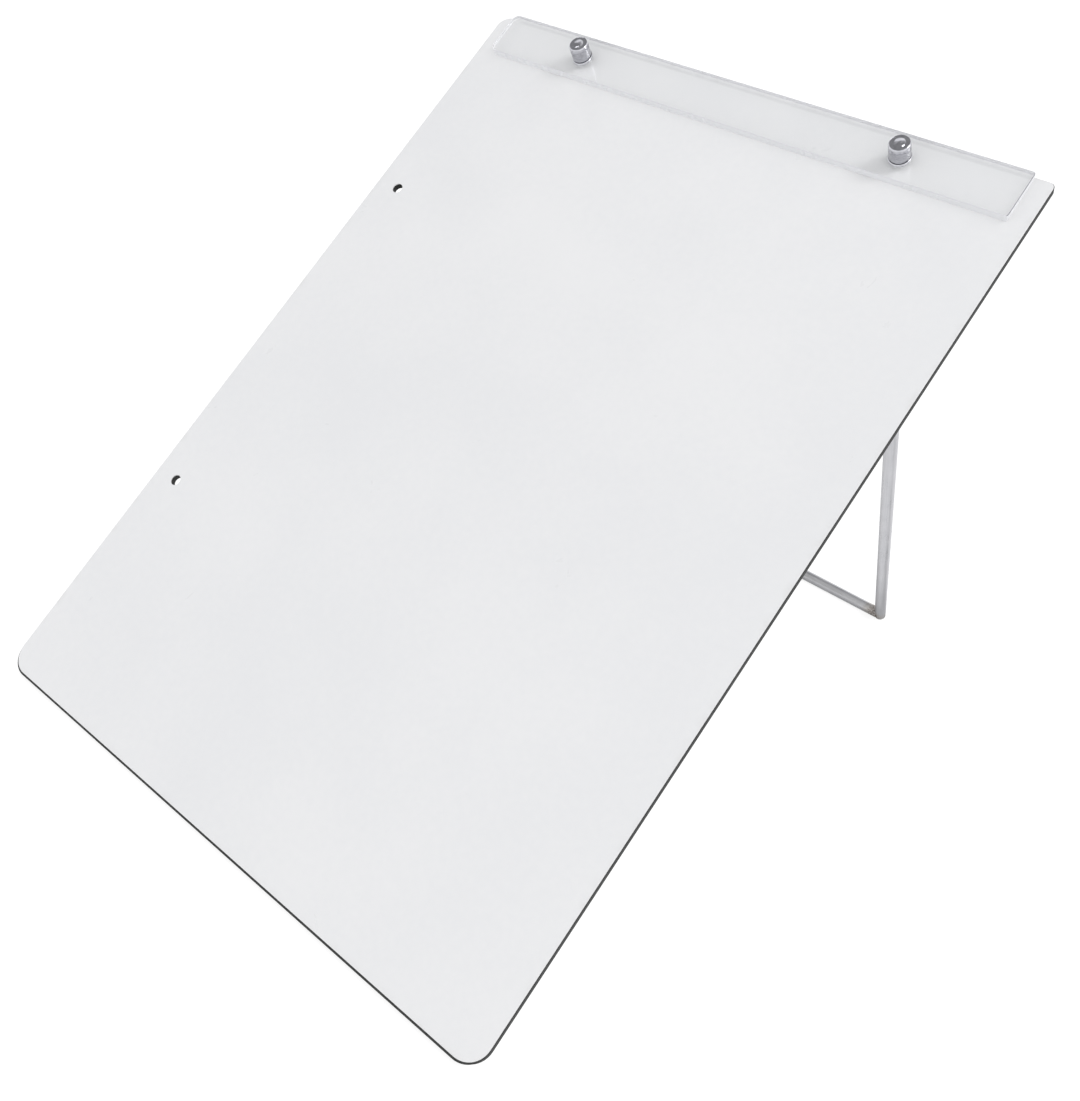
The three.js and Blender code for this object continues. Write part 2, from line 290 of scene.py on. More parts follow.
def make_core_back():
    """Back of the panel: an off-white backing sheet, matt, with fibres, handling marks and scuffs."""
    m, k, p = material("backing_sheet")
    v = k.board()
    fuzz = k.noise(k.board(scale=(500, 1700, 1000)), 1.0, 5.0, 0.68, 0.6)
    cloud = k.noise(v, 0.018, 4.0, 0.6)
    tone = k.math("ADD", k.math("MULTIPLY", fuzz, 0.4), k.math("MULTIPLY", cloud, 0.6))
    col = k.mix(k.ramp(tone, 0.32, 0.68), (0.60, 0.595, 0.575), (0.69, 0.69, 0.675))
    hair = k.math("MULTIPLY", k.ramp(k.noise(k.board(scale=(300, 5200, 1000)), 1.0, 3.0, 0.6, 1.2), 0.68, 0.74), 0.22)
    col = k.mix(hair, col, (0.44, 0.42, 0.38))
    scuff = k.math("MULTIPLY", k.ramp(k.noise(v, 0.03, 6.0, 0.7, 1.5), 0.60, 0.70), 0.30)
    col = k.mix(scuff, col, (0.47, 0.46, 0.44))
    # rubbed marks near the hinges, where the stand and hands pass
    x, y, z = k.xyz(v)
    near = k.ramp(k.math("ABSOLUTE", k.math("SUBTRACT", y, OY + PIVOT_Y)), 34.0, 8.0)
    rub = k.math("MULTIPLY", near, k.ramp(k.noise(k.board(scale=(40, 220, 1000)), 1.0, 5.0, 0.65), 0.50, 0.72))
    col = k.mix(k.math("MULTIPLY", rub, 0.35), col, (0.36, 0.35, 0.335))
    k.put(p.inputs["Base Color"], col)
    k.put(p.inputs["Roughness"], k.ramp(fuzz, 0.3, 0.7, 0.48, 0.66))
    pebble = k.noise(v, 1.6, 3.0, 0.6)
    n1 = k.bump(pebble, 0.22, 0.00006)
    k.put(p.inputs["Normal"], k.bump(fuzz, 0.18, 0.00004, n1))
    return m


def make_acrylic(name, rough, tint, wave, shade, through=1.0, rear=0.0, pale=None):
    """Clear acrylic. Rays from the lights and off matt surfaces pass it dimmed by shade only.
    rear paints a grey strip, a painted refraction of the sawn rear wall seen through the top;
    pale is painted light towards the left end, where the light leaves the bar, with painted shade at the right end."""
    m, k, p = material(name)
    v = k.board()
    p.inputs["Transmission Weight"].default_value = through
    p.inputs["IOR"].default_value = 1.49
    c = k.noise(v, 0.05, 2.0, 0.5)
    col = k.mix(c, tint, tuple(min(1.0, t * 1.006) for t in tint))
    x, y, z = k.xyz(v)
    # painted refraction: a grey strip on the top face where the sawn rear wall shows through
    if rear:
        back = OY + CLIP_Y + CLIP_W / 2 - 2.9
        off = k.math("ABSOLUTE", k.math("SUBTRACT", y, back))
        strip = k.math("MULTIPLY", k.ramp(off, 1.25, 0.15), k.ramp(z, OZ + CLIP_Z + CLIP_T - 0.6, OZ + CLIP_Z + CLIP_T - 0.3))
        strip = k.math("MULTIPLY", strip, k.ramp(x, OX + CLIP_OFF - CLIP_L / 2 + 2.0, OX + CLIP_OFF - CLIP_L / 2 + 9.0))
        col = k.mix(k.math("MULTIPLY", strip, rear), col, (0.60, 0.60, 0.62))
    # painted light: the rim is made pale towards the left end, where the light leaves the bar
    if pale is not None:
        left = OX + CLIP_OFF - CLIP_L / 2
        col = k.mix(k.ramp(x, left + 3.2, left + 0.6), col, pale)
        # painted shade: the lower part of the right end's rim is made dark grey
        end = k.math("MULTIPLY", k.ramp(x, left + CLIP_L - 0.7, left + CLIP_L - 0.3), k.ramp(z, OZ + CLIP_Z + 1.2, OZ + CLIP_Z + 1.8))
        col = k.mix(end, col, (0.26, 0.26, 0.29))
    k.put(p.inputs["Base Color"], col)
    haze = k.noise(v, 0.07, 5.0, 0.65, 0.5)
    scratch = k.ramp(k.noise(k.board(scale=(60, 9000, 1000)), 1.0, 2.0, 0.5, 0.4), 0.70, 0.76)
    r = k.math("ADD", k.ramp(haze, 0.45, 0.8, rough[0], rough[1]), k.math("MULTIPLY", scratch, 0.03))
    k.put(p.inputs["Roughness"], r)
    swell = k.noise(v, wave[0], 2.0, 0.5)
    k.put(p.inputs["Normal"], k.bump(swell, wave[1], wave[2]))
    path = k.new("ShaderNodeLightPath")
    clear = k.new("ShaderNodeBsdfTransparent")
    clear.inputs["Color"].default_value = (shade, shade, shade, 1)
    blend = k.new("ShaderNodeMixShader")
    k.put(blend.inputs[0], k.math("MAXIMUM", path.outputs["Is Shadow Ray"], path.outputs["Is Diffuse Ray"]))
    k.put(blend.inputs[1], p.outputs[0])
    k.put(blend.inputs[2], clear.outputs[0])
    out = [n for n in m.node_tree.nodes if n.type == "OUTPUT_MATERIAL"][0]
    k.put(out.inputs[0], blend.outputs[0])
    return m


def make_chrome(name, lo, hi, rough, satin=None):
    """Chrome plating: bright and slightly blue, with a haze of fine wiping scratches.
    satin gives the height below which the turned side is duller."""
    m, k, p = material(name)
    v = k.board()
    p.inputs["Metallic"].default_value = 1.0
    c = k.noise(v, 0.8, 3.0, 0.5)
    col = k.mix(k.ramp(c, 0.3, 0.7), lo, hi)
    wipe = k.noise(k.board(scale=(1500, 1500, 14000)), 1.0, 2.0, 0.5)
    spot = k.ramp(k.noise(v, 1.7, 4.0, 0.6), 0.55, 0.8)
    r = k.math("ADD", k.ramp(wipe, 0.3, 0.7, rough[0], rough[1]), k.math("MULTIPLY", spot, 0.05))
    turned = None
    if satin is not None:
        z = k.xyz(v)[2]
        turned = k.ramp(z, OZ + satin + 0.03, OZ + satin - 0.03)
        lathe_marks = k.noise(k.board(scale=(120, 120, 9000)), 1.0, 3.0, 0.6)
        col = k.mix(k.math("MULTIPLY", turned, k.ramp(lathe_marks, 0.3, 0.7, 0.25, 0.6)), col, tuple(0.80 * t for t in lo))
        r = k.math("ADD", r, k.math("MULTIPLY", turned, k.ramp(lathe_marks, 0.3, 0.7, 0.13, 0.22)))
    k.put(p.inputs["Base Color"], col)
    k.put(p.inputs["Roughness"], r)
    n1 = k.bump(wipe, 0.05, 0.00001)
    if turned is not None:
        # the polished cap is slightly uneven under the plating
        n1 = k.bump(k.noise(v, 0.85, 2.0, 0.5), 0.6, 0.00024, n1)
        n1 = k.bump(k.math("MULTIPLY", turned, k.noise(k.board(scale=(60, 60, 7000)), 1.0, 2.0, 0.5)), 0.35, 0.00002, n1)
    k.put(p.inputs["Normal"], n1)
    return m


def make_steel(name, scale, lo, hi, rough, spangle=True):
    """Bright zinc plating over drawn or rolled steel; scale stretches the grain."""
    m, k, p = material(name)
    v = k.board()
    p.inputs["Metallic"].default_value = 1.0
    grain = k.noise(k.board(scale=scale), 1.0, 4.0, 0.6)
    cloud = k.noise(v, 0.22, 4.0, 0.6)
    tone = k.math("ADD", k.math("MULTIPLY", grain, 0.55), k.math("MULTIPLY", cloud, 0.45))
    col = k.mix(k.ramp(tone, 0.3, 0.7), lo, hi)
    dull = k.math("MULTIPLY", k.ramp(k.noise(v, 0.5, 5.0, 0.7, 0.6), 0.58, 0.72), 0.35)
    col = k.mix(dull, col, tuple(c * 0.72 for c in lo))
    k.put(p.inputs["Base Color"], col)
    k.put(p.inputs["Roughness"], k.math("ADD", k.ramp(tone, 0.3, 0.7, rough[0], rough[1]), k.math("MULTIPLY", dull, 0.35)))
    k.put(p.inputs["Normal"], k.bump(grain, 0.14, 0.00004))
    return m, k, p, col


def leg_turn():
    """Rotation about X, as Nodes.board takes it, that lays the open leg's direction along Y."""
    d = world(0, LEG_DIR[0], LEG_DIR[1]) - world(0, 0, 0)
    return math.atan2(d.z, d.y)


def make_rod(name, turn, scale):
    """Zinc-plated wire rod with drawing streaks along it, heat-tinted beside its welds."""
    m, k, p = material(name)
    p.inputs["Metallic"].default_value = 1.0
    v = k.board()
    s = k.board(turn=turn, scale=scale)
    streak = k.noise(s, 1.0, 4.0, 0.6)
    cloud = k.noise(v, 0.11, 4.0, 0.6)
    tone = k.math("ADD", k.math("MULTIPLY", streak, 0.6), k.math("MULTIPLY", cloud, 0.4))
    col = k.mix(k.ramp(tone, 0.3, 0.7), (0.545, 0.548, 0.575), (0.665, 0.665, 0.690))
    # heat tint: distance to the nearest welded corner
    c = k.new("ShaderNodeTexCoord").outputs["Object"]
    near = None
    for side in (-1, 1):
        for along in (0.0, LEG):
            q = world(side * (LEG_X - ROD_R), PIVOT_Y + LEG_DIR[0] * along, PIVOT_Z + LEG_DIR[1] * along)
            d = k.new("ShaderNodeVectorMath", operation="DISTANCE")
            k.put(d.inputs[0], c)
            d.inputs[1].default_value = tuple(q)
            near = d.outputs["Value"] if near is None else k.math("MINIMUM", near, d.outputs["Value"])
    rag = k.math("MULTIPLY", k.math("SUBTRACT", k.noise(v, 0.9, 4.0, 0.65), 0.5), 0.0045)
    near = k.math("ADD", near, rag)
    straw = k.ramp(near, 0.0072, 0.0040)
    burnt = k.math("MULTIPLY", k.ramp(near, 0.0046, 0.0028), k.ramp(k.noise(v, 1.4, 4.0, 0.6), 0.35, 0.62))
    col = k.mix(k.math("MULTIPLY", straw, 0.42), col, (0.50, 0.45, 0.38))
    col = k.mix(k.math("MULTIPLY", burnt, 0.62), col, (0.17, 0.125, 0.10))
    k.put(p.inputs["Base Color"], col)
    k.put(p.inputs["Roughness"], k.math("ADD", k.ramp(tone, 0.3, 0.7, 0.26, 0.40), k.math("MULTIPLY", burnt, 0.25)))
    pit = k.ramp(k.noise(v, 1.3, 3.0, 0.6), 0.62, 0.78)
    n1 = k.bump(streak, 0.22, 0.00005)
    k.put(p.inputs["Normal"], k.bump(pit, -0.25, 0.00004, n1))
    return m


def make_weld():
    m, k, p = material("weld_bead")
    v = k.board()
    p.inputs["Metallic"].default_value = 0.85
    c = k.noise(v, 0.9, 4.0, 0.65)
    col = k.mix(k.ramp(c, 0.35, 0.65), (0.16, 0.125, 0.105), (0.47, 0.45, 0.44))
    k.put(p.inputs["Base Color"], col)
    k.put(p.inputs["Roughness"], k.ramp(c, 0.3, 0.7, 0.62, 0.38))
    k.put(p.inputs["Normal"], k.bump(k.noise(v, 2.2, 3.0, 0.6), 0.4, 0.0001))
    return m


LAMINATE = make_laminate()
CORE_EDGE = make_core_edge()
CORE_BACK = make_core_back()
# the face carries a painted refraction strip (rear=0.30) near its back edge
ACRYLIC = make_acrylic("clear_acrylic_face", (0.0, 0.035), (0.990, 0.994, 0.998), (0.02, 0.05, 0.0004), 1.0, rear=0.30)
ACRYLIC_EDGE = make_acrylic("clear_acrylic_edge", (0.25, 0.38), (0.765, 0.77, 0.785), (0.10, 0.02, 0.0001), 0.80, 0.0)
# the rounded edges: an opaque grey darker than the walls, a painted dark edge line, with painted light at the left end
# and painted shade at the right end
ACRYLIC_RIM_PAINTED_LIGHT_AND_SHADE = make_acrylic("clear_acrylic_rim_painted_light_and_shade", (0.30, 0.42), (0.66, 0.66, 0.69), (0.10, 0.02, 0.0001), 0.80, 0.0, pale=(0.93, 0.93, 0.94))
CHROME = make_chrome("knob_chrome", (0.50, 0.50, 0.535), (0.58, 0.58, 0.615), (0.04, 0.09), KNOB_TOP - 1.75)
WASHER = make_chrome("washer_chrome", (0.56, 0.56, 0.59), (0.66, 0.66, 0.69), (0.08, 0.16))
PLATE = make_steel("plate_zinc", (90, 2600, 2600), (0.50, 0.50, 0.52), (0.66, 0.66, 0.68), (0.24, 0.40))[0]
STUD = make_steel("stud_zinc", (1200, 1200, 1200), (0.46, 0.46, 0.48), (0.62, 0.62, 0.64), (0.22, 0.38))[0]
RIVET = make_steel("rivet_steel", (1500, 1500, 1500), (0.52, 0.52, 0.53), (0.68, 0.68, 0.69), (0.22, 0.36))[0]
ROD_X = make_rod("rod_zinc_across", TILT, (45, 2200, 2200))
ROD_LEG = make_rod("rod_zinc_leg", leg_turn(), (2200, 45, 2200))
WELD = make_weld()


# ---------------------------------------------------------------------------------
# Mesh helpers: every point is given in the board's frame, in mm
# ---------------------------------------------------------------------------------
def finish_mesh(bm, name, mats, body, nodes=(), place=world, angle=35.0, weighted=True):
    for v in bm.verts:
        v.co = place(*v.co)
    bmesh.ops.recalc_face_normals(bm, faces=bm.faces)
    me = bpy.data.meshes.new(name)
    bm.to_mesh(me)
    bm.free()
    for m in mats:
        me.materials.append(m)
    me.shade_smooth()
    if angle:
        me.set_sharp_from_angle(angle=math.radians(angle))
    ob = bpy.data.objects.new(name, me)
    scene.collection.objects.link(ob)
    if weighted:
        w = ob.modifiers.new("weighted", "WEIGHTED_NORMAL")
        w.keep_sharp = True
        w.weight = 100
    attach(ob, body)
    if nodes:
        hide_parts(*nodes)
    return ob


def rect_loop(x0, y0, x1, y1, radii, seg):
    """Rounded rectangle as a function of an inset; radii from lower left, anticlockwise."""
    def at(d):
        pts = []
        r0, r1, r2, r3 = (max(r - d, 0.02) for r in radii)
        a, b, c, e = x0 + d, y0 + d, x1 - d, y1 - d
        for cx, cy, r, start in ((c - r1, b + r1, r1, -90), (c - r2, e - r2, r2, 0), (a + r3, e - r3, r3, 90), (a + r0, b + r0, r0, 180)):
            for k in range(seg + 1):
                t = math.radians(start + 90 * k / seg)
                pts.append((cx + r * math.cos(t), cy + r * math.sin(t)))
        return pts
    return at


def hole_loop(x, y, r, seg):
    def at(d):
        return [(x + (r + d) * math.cos(2 * math.pi * k / seg), y + (r + d) * math.sin(2 * math.pi * k / seg)) for k in range(seg)]
    return at


def edge_profile(z0, z1, low, high, steps=4):
    """(inset, z) rings up a wall with a rounded edge of radius low at z0 and high at z1."""
    rings = []
    for k in range(steps + 1):
        t = math.pi / 2 * k / steps
        rings.append((low * (1 - math.sin(t)), z0 + low * (1 - math.cos(t))))
    for k in range(steps + 1):
        t = math.pi / 2 * k / steps
        rings.append((high * (1 - math.cos(t)), z1 - high + high * math.sin(t)))
    return rings


def slab(bm, loops, rings, cap_mats=(0, 0), wall_mat=0, edge_mat=None):
    """A flat plate with holes: loops are functions of an inset, rings the wall's profile.
    The rounded edges above and below the wall take edge_mat if it is given."""
    ends = {0: [], 1: []}
    for loop in loops:
        grid = [[bm.verts.new((x, y, z)) for x, y in loop(d)] for d, z in rings]
        n = len(grid[0])
        for j, (a, b) in enumerate(zip(grid, grid[1:])):
            straight = rings[j + 1][1] - rings[j][1] > 0.5 * (rings[-1][1] - rings[0][1])
            for i in range(n):
                f = bm.faces.new((a[i], a[(i + 1) % n], b[(i + 1) % n], b[i]))
                f.material_index = wall_mat if straight or edge_mat is None else edge_mat
        for side, ring in ((0, grid[0]), (1, grid[-1])):
            for i in range(n):
                ends[side].append(bm.edges.get((ring[i], ring[(i + 1) % n])))
    for side in (0, 1):
        got = bmesh.ops.triangle_fill(bm, edges=ends[side], use_beauty=True, use_dissolve=False)
        for g in got["geom"]:
            if isinstance(g, bmesh.types.BMFace):
                g.material_index = cap_mats[side]


def lathe(bm, profile, x, y, n=72, mat=0, mats=None):
    """Solid of revolution about the board's normal. A point with r = 0 is a pole."""
    rows = []
    closed = profile[0] == profile[-1]
    pts = profile[:-1] if closed else profile
    for r, z in pts:
        if r <= 1e-9:
            rows.append([bm.verts.new((x, y, z))])
        else:
            rows.append([bm.verts.new((x + r * math.cos(2 * math.pi * k / n), y + r * math.sin(2 * math.pi * k / n), z)) for k in range(n)])
    pairs = list(zip(range(len(rows)), range(1, len(rows))))
    if closed:
        pairs.append((len(rows) - 1, 0))
    for i, j in pairs:
        a, b = rows[i], rows[j]
        for k in range(n):
            q = (k + 1) % n
            if len(a) == 1 and len(b) == 1:
                continue
            if len(a) == 1:
                f = bm.faces.new((a[0], b[q], b[k]))
            elif len(b) == 1:
                f = bm.faces.new((a[k], a[q], b[0]))
            else:
                f = bm.faces.new((a[k], a[q], b[q], b[k]))
            f.material_index = mats[i] if mats else mat


def rounded(points, radii, steps=5, closed=False):
    """Rounds the corners of a polyline; radii is one number or one per point (0 keeps it)."""
    n = len(points)
    if not hasattr(radii, "__len__"):
        radii = [radii] * n
    out = []
    for i, p in enumerate(points):
        r = radii[i]
        if r <= 0 or (not closed and i in (0, n - 1)):
            out.append(tuple(p))
            continue
        p = Vector(p)
        a, b = Vector(points[i - 1]) - p, Vector(points[(i + 1) % n]) - p
        la, lb = a.length, b.length
        if la < 1e-9 or lb < 1e-9:
            out.append(tuple(p))
            continue
        a.normalize()
        b.normalize()
        half = math.acos(max(-1, min(1, a.dot(b)))) / 2
        if half > math.radians(88):
            out.append(tuple(p))
            continue
        ka = 0.49 if radii[i - 1] > 0 else 0.96
        kb = 0.49 if radii[(i + 1) % n] > 0 else 0.96
        t = min(r / math.tan(half), ka * la, kb * lb)
        rr = t * math.tan(half)
        bis = (a + b).normalized()
        c = p + bis * (rr / math.sin(half))
        s, e = p + a * t - c, p + b * t - c
        turn = math.atan2(s.x * e.y - s.y * e.x, s.dot(e))
        for k in range(steps + 1):
            w = turn * k / steps
            q = Vector((s.x * math.cos(w) - s.y * math.sin(w), s.x * math.sin(w) + s.y * math.cos(w)))
            out.append(tuple(c + q))
    return out


def inset(poly, d):
    """A closed polygon moved inwards by d, for small d; the polygon runs anticlockwise."""
    n = len(poly)
    out = []
    for i in range(n):
        p = Vector(poly[i])
        a = (p - Vector(poly[i - 1])).normalized()
        b = (Vector(poly[(i + 1) % n]) - p).normalized()
        na, nb = Vector((-a.y, a.x)), Vector((-b.y, b.x))
        m = na + nb
        m = m / max(m.dot(m) / 2, 0.35)
        out.append(tuple(p + m * d))
    return out


def area(poly):
    return sum(poly[i - 1][0] * poly[i][1] - poly[i][0] * poly[i - 1][1] for i in range(len(poly))) / 2


def along_x(bm, poly, x0, x1, b=0.12, steps=3, mat=0):
    """A closed (y, z) profile run along x, with its end edges rounded."""
    if area(poly) < 0:
        poly = poly[::-1]
    stations = []
    for k in range(steps + 1):
        t = math.pi / 2 * k / steps
        stations.append((x0 + b * (1 - math.cos(t)), b * (1 - math.sin(t))))
    for k in range(steps + 1):
        t = math.pi / 2 * k / steps
        stations.append((x1 - b + b * math.sin(t), b * (1 - math.cos(t))))
    rows = []
    for x, d in stations:
        rows.append([bm.verts.new((x, y, z)) for y, z in (inset(poly, d) if d > 1e-6 else poly)])
    n = len(poly)
    for a, c in zip(rows, rows[1:]):
        for i in range(n):
            f = bm.faces.new((a[i], a[(i + 1) % n], c[(i + 1) % n], c[i]))
            f.material_index = mat
    for row in (rows[0], rows[-1]):
        edges = [bm.edges.get((row[i], row[(i + 1) % n])) for i in range(n)]
        bmesh.ops.triangle_fill(bm, edges=edges, use_beauty=True, use_dissolve=False)


def rod(bm, a, b, r, n=48, chamfer=0.25, mat=0):
    """A round rod from a to b with eased ends."""
    a, b = Vector(a), Vector(b)
    d = (b - a).normalized()
    u = d.orthogonal().normalized()
    w = d.cross(u)
    length = (b - a).length
    prof = [(0, 0)] + [(r - chamfer + chamfer * math.sin(t), chamfer - chamfer * math.cos(t)) for t in (0, 0.5, 1.05, math.pi / 2)]
    steps = max(2, int(length / 6))
    prof += [(r, chamfer + (length - 2 * chamfer) * k / steps) for k in range(1, steps)]
    prof += [(r - chamfer + chamfer * math.cos(t), length - chamfer + chamfer * math.sin(t)) for t in (0, 0.5, 1.05, math.pi / 2)] + [(0, length)]
    rows = []
    for q, t in prof:
        c = a + d * t
        rows.append([bm.verts.new(c)] if q == 0 else [bm.verts.new(c + u * (q * math.cos(2 * math.pi * k / n)) + w * (q * math.sin(2 * math.pi * k / n))) for k in range(n)])
    for s, e in zip(rows, rows[1:]):
        for k in range(n):
            g = (k + 1) % n
            if len(s) == 1:
                bm.faces.new((s[0], e[k], e[g]))
            elif len(e) == 1:
                bm.faces.new((s[k], s[g], e[0]))
            else:
                bm.faces.new((s[k], s[g], e[g], e[k]))


def thread(bm, x, y, z0, z1, major, minor, pitch, n=36, m=10):
    """A helical 60 degree thread between two flat ends, its rows running along the helix."""
    def radius(j):
        t = (j % m) / m
        lo, hi = 0.10, 0.16                     # root and crest flats, as shares of the pitch
        flank = (1 - lo - hi) / 2
        if t < lo:
            return minor
        if t < lo + flank:
            return minor + (major - minor) * (t - lo) / flank
        if t < lo + flank + hi:
            return major
        return major - (major - minor) * (t - lo - flank - hi) / flank
    turns = int(math.ceil((z1 - z0) / pitch)) + 2
    rows = turns * m
    grid = {}
    for i in range(n):
        for j in range(rows + 1):
            z = z0 - pitch + j * pitch / m + pitch * i / n
            a = 2 * math.pi * i / n
            r = radius(j)
            zc = min(max(z, z0), z1)
            grid[i, j] = bm.verts.new((x + r * math.cos(a), y + r * math.sin(a), zc))
    for i in range(n):
        for j in range(rows):
            a, d = grid[i, j], grid[i, j + 1]
            if i < n - 1:
                b, c = grid[i + 1, j], grid[i + 1, j + 1]
            else:
                if j - m < 0 or j + 1 - m < 0:
                    continue
                # the last column meets the first one a pitch further along
                jj = j + m
                if jj + 1 > rows:
                    continue
                b, c = grid[0, jj], grid[0, jj + 1]
            zs = {round(v.co.z, 6) for v in (a, b, c, d)}
            if len(zs) == 1 and (z0 in zs or z1 in zs):
                continue
            bm.faces.new((a, b, c, d))
    bmesh.ops.remove_doubles(bm, verts=bm.verts, dist=1e-5)
    bmesh.ops.delete(bm, geom=[v for v in bm.verts if not v.link_faces], context="VERTS")


# ---------------------------------------------------------------------------------
# Board: laminate face and fibre core
# ---------------------------------------------------------------------------------
corners = (R_LOW, R_LOW, R_TOP_RIGHT, R_TOP_LEFT)
outline = rect_loop(-HW, 0, HW, BOARD_H, corners, 24)
side_holes = [hole_loop(SIDE_X, y, SIDE_R, 48) for y in SIDE_Y]

trimmed = rect_loop(-HW + SHOW, SHOW_LOW, HW - SHOW, BOARD_H - SHOW, (R_LOW - 0.4, R_LOW - 0.4, R_TOP_RIGHT - 0.2, R_TOP_LEFT - 0.2), 24)

bm = bmesh.new()
slab(bm, [trimmed, *side_holes, *[hole_loop(x, STUD_Y, 2.2, 48) for x in STUD_X]],
     edge_profile(-FACE_T, 0, 0.02, 0.12, 3))
finish_mesh(bm, "laminate_face", [LAMINATE], "board", ["face_sheet"])

bm = bmesh.new()
rivet_x = (STRAP_X[0] + STRAP_X[1]) / 2
rivet_at = [(s * rivet_x, PIVOT_Y + e * RIVET_DY, s, e) for s in (-1, 1) for e in (-1, 1)]
slab(bm, [outline, *side_holes, *[hole_loop(x, STUD_Y, 2.56, 40) for x in STUD_X],
          *[hole_loop(x, y, 1.6, 24) for x, y, _, _ in rivet_at]],
     edge_profile(-BOARD_T, -FACE_T - 0.005, 0.22, 0.02, 4), cap_mats=(1, 0), wall_mat=0)
finish_mesh(bm, "fibre_core", [CORE_EDGE, CORE_BACK], "board", ["core_panel"])

# ---------------------------------------------------------------------------------
# Clear bar
# ---------------------------------------------------------------------------------
bm = bmesh.new()
# its rounded edges take the rim material, with its painted dark line, painted light and painted shade
slab(bm, [rect_loop(CLIP_OFF - CLIP_L / 2, CLIP_Y - CLIP_W / 2, CLIP_OFF + CLIP_L / 2, CLIP_Y + CLIP_W / 2, (3.0, 1.2, 1.2, 3.0), 12),
          *[hole_loop(x, STUD_Y, 2.2, 48) for x in STUD_X]],
     edge_profile(CLIP_Z, CLIP_Z + CLIP_T, 0.24, 0.24, 4), cap_mats=(0, 0), wall_mat=1, edge_mat=2)
finish_mesh(bm, "clear_bar", [ACRYLIC, ACRYLIC_EDGE, ACRYLIC_RIM_PAINTED_LIGHT_AND_SHADE], "clip", ["clip_bar"])

# ---------------------------------------------------------------------------------
# Studs, washers and knobs
# ---------------------------------------------------------------------------------
for x, side in zip(STUD_X, ("left", "right")):
    back = -BOARD_T - 0.05
    bm = bmesh.new()
    dome = []
    rise, half = 1.8, 4.5
    big = (half * half + (rise - 0.2) ** 2) / (2 * (rise - 0.2))
    for k in range(13):
        t = k / 12
        r = half * t
        dome.append((r, back - 0.2 - (math.sqrt(big * big - r * r) - (big - (rise - 0.2)))))
    dome[0] = (0, dome[0][1])
    head = dome[:-1] + rounded([(4.38, dome[-2][1] * 0.3 + (back - 0.2) * 0.7), (4.5, back - 0.2), (4.5, back)], 0.1, 3)[1:]
    neck = [(4.5, back), (2.5, back), (2.5, -0.95), (2.35, -0.8), (0, -0.8)]
    prof = head + neck[1:]
    lathe(bm, prof, x, STUD_Y, 64)
    thread(bm, x, STUD_Y, -0.85, KNOB_TOP - 2.05, STUD_R - 0.01, 1.60, 0.7)
    lathe(bm, [(0, KNOB_TOP - 2.3), (1.62, KNOB_TOP - 2.3), (1.62, KNOB_TOP - 2.06), (1.3, KNOB_TOP - 1.72), (0, KNOB_TOP - 1.7)], x, STUD_Y, 36)
    finish_mesh(bm, f"threaded_stud_{side}", [STUD], "board", [f"clamp_stud_{side}"], angle=40)

    bm = bmesh.new()
    z0, z1 = WASHER_Z, WASHER_Z + WASHER_T
    ring = rounded([(2.2, z0), (WASHER_R, z0), (WASHER_R, z1), (2.2, z1)], [0.08, 0.30, 0.36, 0.12], 6, closed=True)
    lathe(bm, ring + [ring[0]], x, STUD_Y, 80)
    finish_mesh(bm, f"bright_washer_{side}", [WASHER], "clip", [f"clip_washer_{side}"], angle=50)

    bm = bmesh.new()
    kt = KNOB_TOP - 0.12
    outer = [(STUD_R + 0.08, KNOB_Z + 0.02), (3.3, KNOB_Z + 0.02), (3.3, KNOB_Z + 0.42), (KNOB_R, KNOB_Z + 0.42),
             (KNOB_R, kt - 1.72), (KNOB_R - 0.20, kt - 1.66), (KNOB_R - 0.20, kt - 1.46), (KNOB_R - 0.02, kt - 1.40),
             (KNOB_R - 0.02, kt), (2.30, kt)]
    outer = rounded(outer, [0, 0.08, 0.12, 0.16, 0.06, 0.05, 0.05, 0.06, 1.22, 0.14], 9)
    sphere = []
    dish_r, depth = 2.18, 0.5
    big = (dish_r ** 2 + depth ** 2) / (2 * depth)
    for k in range(13):
        r = dish_r * (1 - k / 12)
        sphere.append((r, kt - depth + (big - math.sqrt(big * big - r * r)) - 0.01))
    sphere[-1] = (0, kt - depth - 0.01)
    bore = [(0, kt - 1.5), (STUD_R + 0.08, kt - 1.5)]
    lathe(bm, bore + outer + sphere, x, STUD_Y, 96)
    finish_mesh(bm, f"chrome_knob_{side}", [CHROME], f"knob_{side}", [f"clamp_knob_{side}"], angle=42)

